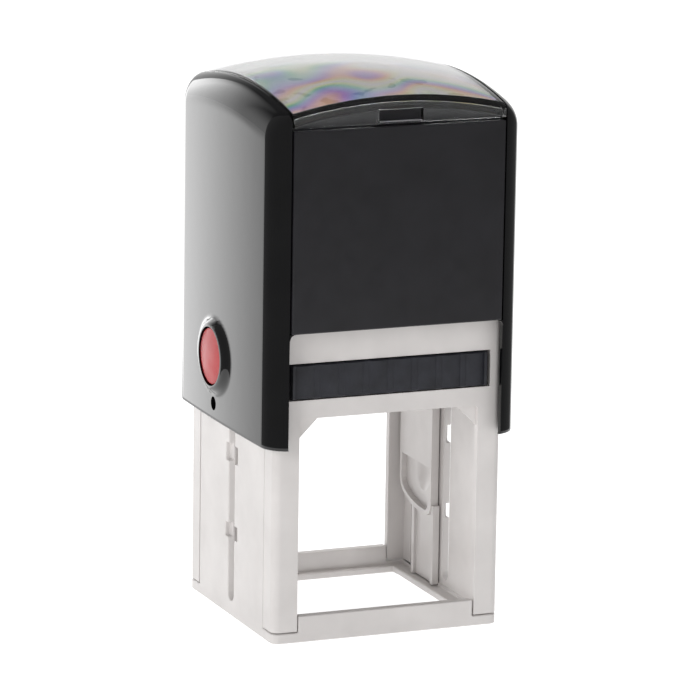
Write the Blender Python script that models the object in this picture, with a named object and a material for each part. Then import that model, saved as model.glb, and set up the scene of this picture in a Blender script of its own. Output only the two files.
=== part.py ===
"""Self inking stamp with a square plate: cap, frame, ink cassette and turning plate carrier.

Metres, +Z up. The origin is on the surface that the stamp stands on, under its middle.
The front, where the cassette pulls out, faces -Y. The cap is up, as it rests.
"""

import math

import bmesh
import bpy
from mathutils import Matrix, Vector

# ---- fits -------------------------------------------------------------------------------------
GAP = 0.0003                  # between pieces that touch or slide
SWING_GAP = 0.0006            # round the turning carrier
SWING_ROOM = 0.00195          # in front of and behind the turning carrier
PEG_GAP = 0.0005              # from the cam pegs to the flip guides
PAPER_GAP = 0.0002            # under the printing face, cap down
SLOT_END_GAP = 0.00065        # under the axle pins, cap down
LEG_GAP = 0.0011              # under the cap, cap down
DECK_GAP = 0.0007             # from the deck to the frame, cap down
PANEL_GAP = 0.00075           # between the frame and the panels
SLOT_SIDE_GAP = 0.0008        # of the cassette in its slot
CARD_MARGIN = 0.0006          # beside the card
CARD_SETBACK = 0.0015         # of the card's front and rear edges from the window's lips

# ---- frame ------------------------------------------------------------------------------------
FRAME_WALL = 0.0016
FRAME_CORNER = 0.0017         # outside corner radius
FRAME_RIM = 0.0046            # of the frame above its top plate
POST_WIDTH = 0.0054           # front face of a corner post
POST_DEPTH = 0.0055           # side face of a corner post
FOOT_HEIGHT = 0.0021          # ring under the posts
BAR_HEIGHT = 0.0056           # front and rear bars of the base
BAR_WALL = 0.00195
LEDGE_HEIGHT = 0.0014         # thin ledge round the printing opening
CHEEK_DROP = 0.0016           # of the cheeks' top under the raised axle
CROSS_HEIGHT = 0.0039         # cross member between window and cassette slot
WINDOW_CORNER = 0.0010        # radius of the windows' top corners
GUSSET_SIZE = 0.0044          # webs across the top corners of the windows
TOP_PLATE_THICKNESS = 0.0017

# ---- cheek slots and catches --------------------------------------------------------------------
NOTCH_WIDTH = 0.0066
NOTCH_DEPTH = 0.0010          # of the notches in the outer face
NOTCH_SPANS = ((0.0166, 0.0196), (0.0330, 0.0367))

# ---- motion -----------------------------------------------------------------------------------
PRESS_STROKE = 0.0404
FACE_OFFSET = 0.0050          # from the axle to the printing face
AXLE_RADIUS = 0.00135

# ---- plate ------------------------------------------------------------------------------------
PLATE_SIZE = 0.0400           # square text plate
RELIEF = 0.0006               # height of the raised design
RUBBER_BASE = 0.0006
CUSHION_THICKNESS = 0.0006
CARRIER_PLATE = 0.0013
CARRIER_RIM = 0.0006          # of the carrier outside the text plate
EAR_WIDTH = 0.0016
EAR_RADIUS = 0.0027
CAM_PEG_RADIUS = 0.0009
CAM_PEG_OFFSET = 0.0085       # from the axle, along the carrier
CAM_PEG_LENGTH = 0.0005
BORDER_WIDTH = 0.0010         # raised border of the text plate
LINE_COUNT = 4                # raised plain bars inside the border
LINE_WIDTH = 0.0030
LINE_PITCH = 0.0074
LINE_MARGIN = 0.0055

# ---- flip guides --------------------------------------------------------------------------------
GUIDE_THICKNESS = 0.0017
GUIDE_SETBACK = 0.0002        # front edge behind the notches
GUIDE_BLOCK_BOTTOM = 0.0269   # solid block above, pocket below
GUIDE_TOP_DROP = 0.0005       # under the top of the cheek
GUIDE_WALL = 0.0011           # wall round the J-shaped pocket
POCKET_DEPTH = 0.0012
HOOK_Y = 0.0070               # middle of the pocket's round end
HOOK_Z = 0.0189
HOOK_RADIUS = 0.0017
BEND_HEIGHT = 0.0041          # of the pocket's rear curve
CREST_REACH = 0.0052          # of the pocket's inner curve, behind the hook
CREST_HEIGHT = 0.0040
SCOOP_BALL = 0.0070           # radius of the hollow in front of the pocket
SCOOP_DEPTH = 0.0011
SCOOP_Y = 0.0074              # middle of the hollow
SCOOP_Z = 0.0251
FOOT_FRONT = 0.0026           # of the ribbed foot below the pocket
FOOT_REAR = 0.0142
FOOT_THICKNESS = 0.0008
FOOT_RIB_WIDTH = 0.0013
FOOT_RIB_SETBACK = 0.00025    # of the ribs behind the guide's face

# ---- ink cassette -----------------------------------------------------------------------------
PAD_THICKNESS = 0.0050
PAD_MARGIN = 0.0003           # of the pad outside the text plate
PAD_PROUD = 0.0005            # of the pad below its tray
TRAY_ROOF = 0.0023
TRAY_REST = 0.0010            # of the tray over its rails
CASSETTE_FRONT = 0.0004       # of the grip in front of the frame
RAIL_HEIGHT = 0.0012
GRIP_SCALLOPS = 8
SCALLOP_DEPTH = 0.0005
SCALLOP_STEPS = 6

# ---- cap --------------------------------------------------------------------------------------
CAP_CORNER = 0.0055           # radius of the upright corners
CAP_SIDE_WALL = 0.0022
CAP_FRONT_WALL = 0.0015
CAP_INNER_CORNER = 0.0012
CUT_OUT_CORNER = 0.0012       # rounded top corners of the cut-outs under the panels
STRIP_WIDTH = 0.0042          # of a corner strip beside a panel
PANEL_SKIN = 0.0016
PANEL_DEPTH = 0.0028
PANEL_DROP = 0.0092           # top of the panels under the crown
TONGUE_SETBACK = 0.0008       # of the panels' tongues from the cap's side walls
PANEL_TONGUE_THICKNESS = 0.0010
PANEL_RIM = 0.0018
CROWN_FALL_X = 0.0032         # of the dome, over the frame's side
CROWN_FALL_Y = 0.0026         # of the dome, over the frame's front
SHOULDER_WIDTH = 0.0040       # rounded edge along the sides of the roof
SHOULDER_RISE = 0.0055
EDGE_WIDTH = 0.0016           # rounded edge along the front and rear of the roof
WINDOW_WALL = 0.0015
LIP_GAP = 0.0006              # between a panel and the window's lip
CARD_DROP = 0.0019            # top of the card under the crown
CARD_THICKNESS = 0.0005
DECK_DROP = 0.0029            # top of the deck under the crown
DECK_THICKNESS = 0.0014
FINGER_SLOT_WIDTH = 0.0096
FINGER_SLOT_HEIGHT = 0.0029

# ---- lock buttons -----------------------------------------------------------------------------
BUTTON_RADIUS = 0.0059
BUTTON_Y = 0.0034
BUTTON_RISE = 0.0038          # of its middle over the cassette's underside
BUTTON_PROUD = 0.0012
BUTTON_HEAD = 0.0012
BUTTON_TRAVEL = 0.0012
BUTTON_END_GAP = 0.0004       # under the button, pressed in
BUTTON_CROWN = 0.0004
BUTTON_SHARES = (1.0, 0.85, 0.6, 0.3)
STEM_RADIUS = 0.0023
COLLAR_LENGTH = 0.0192        # foot of the sloping oval collar round the button, along Y
COLLAR_HEIGHT = 0.0162
COLLAR_RIM = 0.0006           # round the button at the collar's top
COLLAR_RISE = 0.0012
SIGHT_HOLE_RADIUS = 0.00145
SIGHT_HOLE_Y = 0.0037
SIGHT_HOLE_RISE = 0.0035      # over the cap's lower edge
LOCK_HOLE_RADIUS = 0.0029

# ---- springs ----------------------------------------------------------------------------------
RETURN_WIRE = 0.0010
RETURN_RADIUS = 0.0070
RETURN_TURNS = 8
SPIGOT_RADIUS = 0.0054        # boss inside each end of the return spring
SPIGOT_HEIGHT = 0.0044
BUTTON_WIRE = 0.0003
BUTTON_COIL_RADIUS = 0.0034
BUTTON_TURNS = 2.5

# ---- smoothness -------------------------------------------------------------------------------
CORNER_STEPS = 6
ROUND_SIDES = 32
SMALL_SIDES = 20
DOME_COLUMNS = 14
DOME_ROWS = 12
SHOULDER_STEPS = 4
EDGE_STEPS = 4
DOME_SHARES = (0.96, 0.8, 0.6, 0.4, 0.2)
COIL_STEPS = 20               # points for each turn of a spring
FAR = 0.3                     # reach of a cutter past the object
CORNERS = ((1, 1, 0), (-1, 1, 90), (-1, -1, 180), (1, -1, 270))   # sides and first angle

# ---- worked out, across and along -----------------------------------------------------------------
PLATE_HALF = PLATE_SIZE / 2
CARRIER_HALF = PLATE_HALF + CARRIER_RIM
OPENING_HALF = PLATE_HALF + SWING_GAP
FRAME_INNER_X = CARRIER_HALF + CAM_PEG_LENGTH + PEG_GAP + GUIDE_THICKNESS + GAP
FRAME_INNER_Y = CARRIER_HALF + SWING_ROOM
FRAME_X = FRAME_INNER_X + FRAME_WALL
FRAME_Y = FRAME_INNER_Y + FRAME_WALL
WINDOW_X = FRAME_X - POST_WIDTH
SIDE_OPENING_Y = FRAME_Y - POST_DEPTH
SLOT_HALF = AXLE_RADIUS + GAP
GUIDE_X = FRAME_INNER_X - GAP
GUIDE_FRONT = NOTCH_WIDTH / 2 + GUIDE_SETBACK
GUIDE_REAR = CARRIER_HALF
CASSETTE_X = CARRIER_HALF + TRAY_REST
PAD_HALF = PLATE_HALF + PAD_MARGIN
CAP_INNER_X = FRAME_X + GAP
CAP_X = CAP_INNER_X + CAP_SIDE_WALL
CAP_Y = FRAME_Y + PANEL_GAP + PANEL_DEPTH
CAP_INNER_Y = CAP_Y - CAP_FRONT_WALL
BAY_X = CAP_X - STRIP_WIDTH
BUTTON_UNDER = CAP_X + BUTTON_PROUD - BUTTON_HEAD
WELL_FLOOR = BUTTON_UNDER - BUTTON_TRAVEL - BUTTON_END_GAP

# ---- worked out, heights ----------------------------------------------------------------------
AXLE_HEIGHT = PAPER_GAP + FACE_OFFSET + PRESS_STROKE
CAP_BOTTOM = LEG_GAP + PRESS_STROKE
SLOT_BOTTOM = AXLE_HEIGHT - PRESS_STROKE - AXLE_RADIUS - SLOT_END_GAP
CHEEK_TOP = AXLE_HEIGHT - CHEEK_DROP
GUIDE_TOP = CHEEK_TOP - GUIDE_TOP_DROP
FACE_HEIGHT = AXLE_HEIGHT + FACE_OFFSET
RUBBER_BOTTOM = FACE_HEIGHT - RELIEF - RUBBER_BASE
CUSHION_TOP = RUBBER_BOTTOM - GAP
CARRIER_TOP = CUSHION_TOP - CUSHION_THICKNESS - GAP
CARRIER_BOTTOM = CARRIER_TOP - CARRIER_PLATE
PAD_BOTTOM = FACE_HEIGHT + GAP
PAD_TOP = PAD_BOTTOM + PAD_THICKNESS
CASSETTE_BOTTOM = PAD_BOTTOM + PAD_PROUD
CASSETTE_TOP = PAD_TOP + GAP + TRAY_ROOF
WINDOW_TOP = CASSETTE_BOTTOM - GAP - CROSS_HEIGHT
TOP_PLATE_BOTTOM = CASSETTE_TOP + 2 * GAP
TOP_PLATE_TOP = TOP_PLATE_BOTTOM + TOP_PLATE_THICKNESS
FRAME_TOP = TOP_PLATE_TOP + FRAME_RIM
DECK_BOTTOM_DROP = DECK_DROP + DECK_THICKNESS
CROWN_HEIGHT = FRAME_TOP + PRESS_STROKE + DECK_GAP + DECK_BOTTOM_DROP + CROWN_FALL_X + CROWN_FALL_Y
PANEL_BOTTOM = FRAME_TOP + GAP
PANEL_TOP = CROWN_HEIGHT - PANEL_DROP
LIP_BOTTOM = PANEL_TOP + LIP_GAP
BUTTON_Z = CASSETTE_BOTTOM + BUTTON_RISE
SIGHT_HOLE_Z = CAP_BOTTOM + SIGHT_HOLE_RISE


# ---- materials --------------------------------------------------------------------------------
def material(name, colour, roughness, metallic=0.0, alpha=1.0, transmission=0.0):
    made = bpy.data.materials.new(name)
    made.use_nodes = True
    shader = made.node_tree.nodes["Principled BSDF"]
    shader.inputs["Base Color"].default_value = (*colour, 1.0)
    shader.inputs["Roughness"].default_value = roughness
    shader.inputs["Metallic"].default_value = metallic
    shader.inputs["Alpha"].default_value = alpha
    shader.inputs["Transmission Weight"].default_value = transmission
    made.diffuse_color = (*colour, alpha)
    return made


# ---- mesh helpers -------------------------------------------------------------------------------
def finish(name, bm, look=None, smooth=False):
    """Turn a bmesh into an object of the scene, with its faces pointing out."""
    bmesh.ops.recalc_face_normals(bm, faces=bm.faces)
    mesh = bpy.data.meshes.new(name)
    bm.to_mesh(mesh)
    bm.free()
    if smooth:
        mesh.shade_smooth()
        mesh.set_sharp_from_angle(angle=math.radians(35))
    thing = bpy.data.objects.new(name, mesh)
    bpy.context.scene.collection.objects.link(thing)
    if look is not None:
        mesh.materials.append(look)
    return thing


def add_box(bm, low, high):
    low, high = Vector(low), Vector(high)
    size = high - low
    place = Matrix.Translation((low + high) / 2) @ Matrix.Diagonal((*size, 1.0))
    bmesh.ops.create_cube(bm, size=1.0, matrix=place)


def add_cylinder(bm, start, end, radius, sides=SMALL_SIDES):
    start, end = Vector(start), Vector(end)
    along = end - start
    turn = along.to_track_quat("Z", "Y").to_matrix().to_4x4()
    bmesh.ops.create_cone(bm, cap_ends=True, segments=sides, radius1=radius, radius2=radius,
                          depth=along.length, matrix=Matrix.Translation((start + end) / 2) @ turn)


def add_prism(bm, outline, start, end, axis="Z"):
    """Extrude a closed outline from start to end along an axis.

    The outline's points are (x, y) for Z, (y, z) for X and (x, z) for Y.
    """
    def place(a, b, along):
        return {"Z": (a, b, along), "X": (along, a, b), "Y": (a, along, b)}[axis]

    first = [bm.verts.new(place(a, b, start)) for a, b in outline]
    last = [bm.verts.new(place(a, b, end)) for a, b in outline]
    bm.faces.new(first)
    bm.faces.new(last[::-1])
    for n, corner in enumerate(first):
        after = (n + 1) % len(first)
        bm.faces.new((corner, last[n], last[after], first[after]))


def add_skin(bm, rings):
    """Join closed rings of points one after the other and cap both ends."""
    made = [[bm.verts.new(point) for point in ring] for ring in rings]
    for lower, upper in zip(made, made[1:]):
        for n, corner in enumerate(lower):
            after = (n + 1) % len(lower)
            bm.faces.new((corner, lower[after], upper[after], upper[n]))
    bm.faces.new(made[0][::-1])
    bm.faces.new(made[-1])


def arc(middle, reach, start, end):
    """Points along an elliptical arc, between two angles in degrees."""
    steps = max(2, round(CORNER_STEPS * abs(end - start) / 90))
    angles = [math.radians(start + (end - start) * n / steps) for n in range(steps + 1)]
    return [(middle[0] + reach[0] * math.cos(angle), middle[1] + reach[1] * math.sin(angle))
            for angle in angles]


def rounded_rectangle(half_x, half_y, radius):
    points = []
    for side_x, side_y, start in CORNERS:
        middle = (side_x * (half_x - radius), side_y * (half_y - radius))
        points += arc(middle, (radius, radius), start, start + 90)
    return points


def crown(x, y):
    """Height of the domed roof over a point."""
    return CROWN_HEIGHT - CROWN_FALL_X * (x / FRAME_X) ** 2 - CROWN_FALL_Y * (y / FRAME_Y) ** 2


def crowned_rings(outline, drop):
    """Rings that close an outline with the dome, at a drop under the crown."""
    return [[(x * share, y * share, crown(x * share, y * share) - drop) for x, y in outline]
            for share in DOME_SHARES]


def edge_fall(y):
    """Fall of the roof's rounded front or rear edge under the dome."""
    past = max(abs(y) - CAP_Y + EDGE_WIDTH, 0)
    return EDGE_WIDTH - math.sqrt(max(EDGE_WIDTH ** 2 - past ** 2, 0))


def add_crowned_block(bm, half_x, half_y, low, high, edge=0):
    """A block whose underside and top are heights given as functions of x and y.

    Its rows lie closer together over the width of a rounded edge.
    """
    columns = [half_x * (2 * n / DOME_COLUMNS - 1) for n in range(DOME_COLUMNS + 1)]
    rows = [(half_y - edge) * (2 * n / DOME_ROWS - 1) for n in range(DOME_ROWS + 1)]
    if edge:
        turns = [math.pi / 2 * (n + 1) / EDGE_STEPS for n in range(EDGE_STEPS)]
        outer = [half_y - edge + edge * math.sin(turn) for turn in turns]
        rows = [*(-y for y in reversed(outer)), *rows, *outer]
    sheets = []
    for height in (low, high):
        sheets.append([[bm.verts.new((x, y, height(x, y))) for x in columns] for y in rows])
    for sheet in sheets:
        for near, far in zip(sheet, sheet[1:]):
            for n in range(DOME_COLUMNS):
                bm.faces.new((near[n], near[n + 1], far[n + 1], far[n]))
    edges = [[sheet[0] for sheet in sheets], [sheet[-1] for sheet in sheets],
             [[row[0] for row in sheet] for sheet in sheets],
             [[row[-1] for row in sheet] for sheet in sheets]]
    for bottom, top in edges:
        for n in range(len(bottom) - 1):
            bm.faces.new((bottom[n], bottom[n + 1], top[n + 1], top[n]))


def at_height(height):
    return lambda x, y: height


def under_crown(drop):
    return lambda x, y: crown(x, y) - drop


def boolean(target, name, build, operation="DIFFERENCE"):
    """Cut or join a hidden shape, made by build, with a Boolean modifier."""
    bm = bmesh.new()
    build(bm)
    tool = finish(name, bm)
    tool.hide_render = True
    tool.display_type = "WIRE"
    modifier = target.modifiers.new(name, "BOOLEAN")
    modifier.operation = operation
    modifier.object = tool
    return target


def boxes(*pairs):
    """A builder of separate boxes, for boolean."""
    def build(bm):
        for low, high in pairs:
            add_box(bm, low, high)
    return build


def both_sides(low, high, axis=0):
    """A box and its mirror image across a plane through the origin."""
    mirrored_low, mirrored_high = list(low), list(high)
    mirrored_low[axis], mirrored_high[axis] = -high[axis], -low[axis]
    return (low, high), (mirrored_low, mirrored_high)


# ---- frame ------------------------------------------------------------------------------------
def slot_outline(bottom, top):
    """Upright slot with a round lower end, in Y and Z."""
    end = arc((0, bottom + SLOT_HALF), (SLOT_HALF, SLOT_HALF), 180, 360)
    return [*end, (SLOT_HALF, top), (-SLOT_HALF, top)]


def make_base_frame(look):
    """Ring, bars and slotted cheeks, in one moulding."""
    bm = bmesh.new()
    add_prism(bm, rounded_rectangle(FRAME_X, FRAME_Y, FRAME_CORNER), 0, FOOT_HEIGHT)
    base = finish("base_frame", bm, look)
    bar_x = WINDOW_X - GAP
    bars = both_sides((-bar_x, FRAME_Y - BAR_WALL, FOOT_HEIGHT / 2), (bar_x, FRAME_Y, BAR_HEIGHT), 1)
    boolean(base, "base_bars", boxes(*bars), "UNION")
    cheek_y = SIDE_OPENING_Y - GAP
    cheeks = both_sides((FRAME_INNER_X, -cheek_y, FOOT_HEIGHT / 2), (FRAME_X, cheek_y, CHEEK_TOP))
    boolean(base, "base_cheeks", boxes(*cheeks), "UNION")
    boolean(base, "base_opening", boxes(
        ((-OPENING_HALF, -OPENING_HALF, -FAR), (OPENING_HALF, OPENING_HALF, LEDGE_HEIGHT / 2))))
    inner_x = FRAME_INNER_X - GAP
    inner_y = FRAME_Y - BAR_WALL
    boolean(base, "base_recess", boxes(
        ((-inner_x, -inner_y, LEDGE_HEIGHT), (inner_x, inner_y, FAR))))
    boolean(base, "base_opening_top", boxes(
        ((-OPENING_HALF, -OPENING_HALF, LEDGE_HEIGHT / 4), (OPENING_HALF, OPENING_HALF, FAR))))

    def slots(bm):
        add_prism(bm, slot_outline(SLOT_BOTTOM, FAR), -FAR, FAR, "X")
    boolean(base, "cheek_slots", slots)
    notch = NOTCH_WIDTH / 2
    for number, (low, high) in enumerate(NOTCH_SPANS, 1):
        boolean(base, f"cheek_notches_{number}", boxes(
            *both_sides((FRAME_X - NOTCH_DEPTH, -notch, low), (FAR, notch, high))))
    return base


def make_upper_frame(look):
    """Four posts, the cross members with the cassette slot, side panels and top plate."""
    bm = bmesh.new()
    add_prism(bm, rounded_rectangle(FRAME_X, FRAME_Y, FRAME_CORNER), FOOT_HEIGHT + GAP, FRAME_TOP)
    frame = finish("upper_frame", bm, look)
    low, high = FOOT_HEIGHT - GAP, FRAME_TOP + GAP
    boolean(frame, "frame_hollow", boxes(
        ((-FRAME_INNER_X, -FRAME_INNER_Y, low), (FRAME_INNER_X, FRAME_INNER_Y, TOP_PLATE_BOTTOM)),
        ((-FRAME_INNER_X, -FRAME_INNER_Y, TOP_PLATE_TOP), (FRAME_INNER_X, FRAME_INNER_Y, high))))

    def windows(bm):
        corner_x, corner_z = WINDOW_X - WINDOW_CORNER, WINDOW_TOP - WINDOW_CORNER
        reach = (WINDOW_CORNER, WINDOW_CORNER)
        outline = [(-WINDOW_X, low), (WINDOW_X, low), *arc((corner_x, corner_z), reach, 0, 90),
                   *arc((-corner_x, corner_z), reach, 90, 180)]
        add_prism(bm, outline, -FAR, FAR, "Y")
    boolean(frame, "frame_windows", windows)
    boolean(frame, "frame_side_openings", boxes(
        ((-FAR, -SIDE_OPENING_Y, low), (FAR, SIDE_OPENING_Y, CHEEK_TOP + GAP))))
    slot_x = CASSETTE_X + SLOT_SIDE_GAP
    boolean(frame, "frame_cassette_slot", boxes(
        ((-slot_x, -FAR, CASSETTE_BOTTOM - GAP), (slot_x, FAR, CASSETTE_TOP + GAP))))

    def axle_slots(bm):
        """Upper end of the cheek slots, round at the top."""
        lower_end = slot_outline(-AXLE_HEIGHT - SLOT_HALF - GAP, -CHEEK_TOP + GAP)
        add_prism(bm, [(y, -z) for y, z in lower_end], -FAR, FAR, "X")
    boolean(frame, "frame_axle_slots", axle_slots)

    def lock_holes(bm):
        add_cylinder(bm, (-FAR, BUTTON_Y, BUTTON_Z), (FAR, BUTTON_Y, BUTTON_Z), LOCK_HOLE_RADIUS)
    boolean(frame, "frame_lock_holes", lock_holes)

    rail_x = CARRIER_HALF + GAP
    rails = both_sides((rail_x, -FRAME_Y + FRAME_WALL / 2, CASSETTE_BOTTOM - GAP - RAIL_HEIGHT),
                       (FRAME_X - FRAME_WALL / 2, FRAME_Y - FRAME_WALL / 2, CASSETTE_BOTTOM - GAP))
    boolean(frame, "frame_rails", boxes(*rails), "UNION")

    def spigot(bm):
        add_cylinder(bm, (0, 0, TOP_PLATE_BOTTOM + TOP_PLATE_THICKNESS / 2),
                     (0, 0, TOP_PLATE_TOP + SPIGOT_HEIGHT), SPIGOT_RADIUS, ROUND_SIDES)
    boolean(frame, "frame_spigot", spigot, "UNION")

    def gussets(bm):
        """Webs behind the top corners of both windows."""
        inner_y = CARRIER_HALF + 2 * SWING_GAP
        for side in (1, -1):
            corner = side * (WINDOW_X + FRAME_WALL)
            tip = side * (WINDOW_X - GUSSET_SIZE)
            outline = [(tip, WINDOW_TOP + FRAME_WALL), (tip, WINDOW_TOP),
                       (side * WINDOW_X, WINDOW_TOP - GUSSET_SIZE),
                       (corner, WINDOW_TOP - GUSSET_SIZE), (corner, WINDOW_TOP + FRAME_WALL)]
            for face in (1, -1):
                add_prism(bm, outline, face * inner_y, face * (FRAME_INNER_Y + FRAME_WALL / 2), "Y")
    boolean(frame, "frame_gussets", gussets, "UNION")
    return frame


def pocket_outline():
    """J-shaped pocket of a flip guide in Y and Z: wide at the top, hooked forward at its end."""
    rear = GUIDE_REAR - GUIDE_WALL - HOOK_Y
    hook_low, hook_high = HOOK_Z - HOOK_RADIUS, HOOK_Z + HOOK_RADIUS
    outer = arc((HOOK_Y, hook_low + BEND_HEIGHT), (rear, BEND_HEIGHT), 0, -90)
    hook = arc((HOOK_Y, HOOK_Z), (HOOK_RADIUS, HOOK_RADIUS), 270, 90)
    inner = arc((HOOK_Y, hook_high + CREST_HEIGHT), (CREST_REACH, CREST_HEIGHT), -90, 0)
    top = GUIDE_BLOCK_BOTTOM
    return [(HOOK_Y + rear, top), *outer, *hook[1:], *inner[1:], (HOOK_Y + CREST_REACH, top)]


def guide_outline():
    """Outline of a flip guide in Y and Z: a block with a lobe round the pocket's lower end."""
    low = HOOK_Z - HOOK_RADIUS - GUIDE_WALL
    bend = HOOK_Z - HOOK_RADIUS + BEND_HEIGHT
    front = arc((HOOK_Y, HOOK_Z), (HOOK_Y - GUIDE_FRONT, HOOK_Z - low), 180, 270)
    rear = arc((HOOK_Y, bend), (GUIDE_REAR - HOOK_Y, bend - low), -90, 0)
    return [(GUIDE_FRONT, GUIDE_TOP), *front, *rear[1:], (GUIDE_REAR, GUIDE_TOP)]


def scoop_circle(inner, side, reach):
    """Level circle of the ball that hollows a flip guide."""
    middle_x = inner - side * (SCOOP_BALL - SCOOP_DEPTH)
    angles = [2 * math.pi * n / ROUND_SIDES for n in range(ROUND_SIDES)]
    return [(middle_x + reach * math.cos(a), SCOOP_Y + reach * math.sin(a)) for a in angles]


def make_flip_guide(name, side, look):
    """Guide block with the J-shaped pocket and a ribbed foot below it, on the inner face of a cheek."""
    inner = side * (GUIDE_X - GUIDE_THICKNESS)
    bm = bmesh.new()
    add_prism(bm, guide_outline(), inner, side * GUIDE_X, "X")
    guide = finish(name, bm, look)

    def span(reach, front, rear):
        edges = sorted((side * reach, side * GUIDE_X))
        return (edges[0], front, LEDGE_HEIGHT + GAP), (edges[1], rear, HOOK_Z)

    rib_face = GUIDE_X - GUIDE_THICKNESS + FOOT_RIB_SETBACK
    boolean(guide, name + "_foot", boxes(span(GUIDE_X - FOOT_THICKNESS, FOOT_FRONT, FOOT_REAR)), "UNION")
    boolean(guide, name + "_ribs", boxes(
        span(rib_face, FOOT_FRONT, FOOT_FRONT + FOOT_RIB_WIDTH),
        span(rib_face, FOOT_REAR - FOOT_RIB_WIDTH, FOOT_REAR)), "UNION")

    def scoop(bm):
        """Round-bottomed upright hollow, up to the solid block."""
        rings = []
        for turn in (-85, -70, -50, -30, -15, 0):
            reach = SCOOP_BALL * math.cos(math.radians(turn))
            level = SCOOP_Z + SCOOP_BALL * math.sin(math.radians(turn))
            rings.append([(x, y, level) for x, y in scoop_circle(inner, side, reach)])
        rings.append([(x, y, GUIDE_BLOCK_BOTTOM) for x, y in scoop_circle(inner, side, SCOOP_BALL)])
        add_skin(bm, rings)
    boolean(guide, name + "_scoop", scoop)

    def pocket(bm):
        add_prism(bm, pocket_outline(), inner - side * GAP, inner + side * POCKET_DEPTH, "X")
    return boolean(guide, name + "_pocket", pocket)


# ---- ink cassette -----------------------------------------------------------------------------
def cassette_outline():
    """Plan of the tray, with scallops along its front end."""
    front = -FRAME_Y - CASSETTE_FRONT
    back = FRAME_Y - GAP
    pitch = 2 * CASSETTE_X / GRIP_SCALLOPS
    points = [(CASSETTE_X, back), (-CASSETTE_X, back)]
    for n in range(GRIP_SCALLOPS):
        for step in range(SCALLOP_STEPS):
            share = step / SCALLOP_STEPS
            depth = SCALLOP_DEPTH * math.sin(math.pi * share)
            points.append((-CASSETTE_X + pitch * (n + share), front + depth))
    points.append((CASSETTE_X, front))
    return points


def make_cassette(look):
    bm = bmesh.new()
    add_prism(bm, cassette_outline(), CASSETTE_BOTTOM, CASSETTE_TOP)
    tray = finish("ink_cassette", bm, look)
    half = PAD_HALF + GAP
    return boolean(tray, "cassette_well", boxes(
        ((-half, -half, CASSETTE_BOTTOM - GAP), (half, half, PAD_TOP + GAP))))


def make_pad(look):
    bm = bmesh.new()
    add_box(bm, (-PAD_HALF, -PAD_HALF, PAD_BOTTOM), (PAD_HALF, PAD_HALF, PAD_TOP))
    return finish("ink_pad", bm, look)


# ---- cap --------------------------------------------------------------------------------------
def shoulder_ring(turn):
    """Outline of the cap where its rounded edge has turned from the wall towards the roof."""
    inward, drop = 1 - math.cos(turn), 1 - math.sin(turn)
    reach_x = CAP_CORNER - SHOULDER_WIDTH * inward
    reach_y = CAP_CORNER - EDGE_WIDTH * inward
    ring = []
    for side_x, side_y, start in CORNERS:
        middle = (side_x * (CAP_X - CAP_CORNER), side_y * (CAP_Y - CAP_CORNER))
        for step, (x, y) in enumerate(arc(middle, (reach_x, reach_y), start, start + 90)):
            angle = math.radians(start + 90 * step / CORNER_STEPS)
            rise = SHOULDER_RISE * math.cos(angle) ** 2 + EDGE_WIDTH * math.sin(angle) ** 2
            ring.append((x, y, crown(x, y) - rise * drop))
    return ring


def cap_rings():
    """Outline rings from the bottom edge up the walls and over the shoulder."""
    outline = rounded_rectangle(CAP_X, CAP_Y, CAP_CORNER)
    rings = [[(x, y, CAP_BOTTOM) for x, y in outline]]
    rings += [shoulder_ring(math.pi / 2 * step / SHOULDER_STEPS) for step in range(SHOULDER_STEPS + 1)]
    return rings + crowned_rings([point[:2] for point in rings[-1]], 0)


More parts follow.
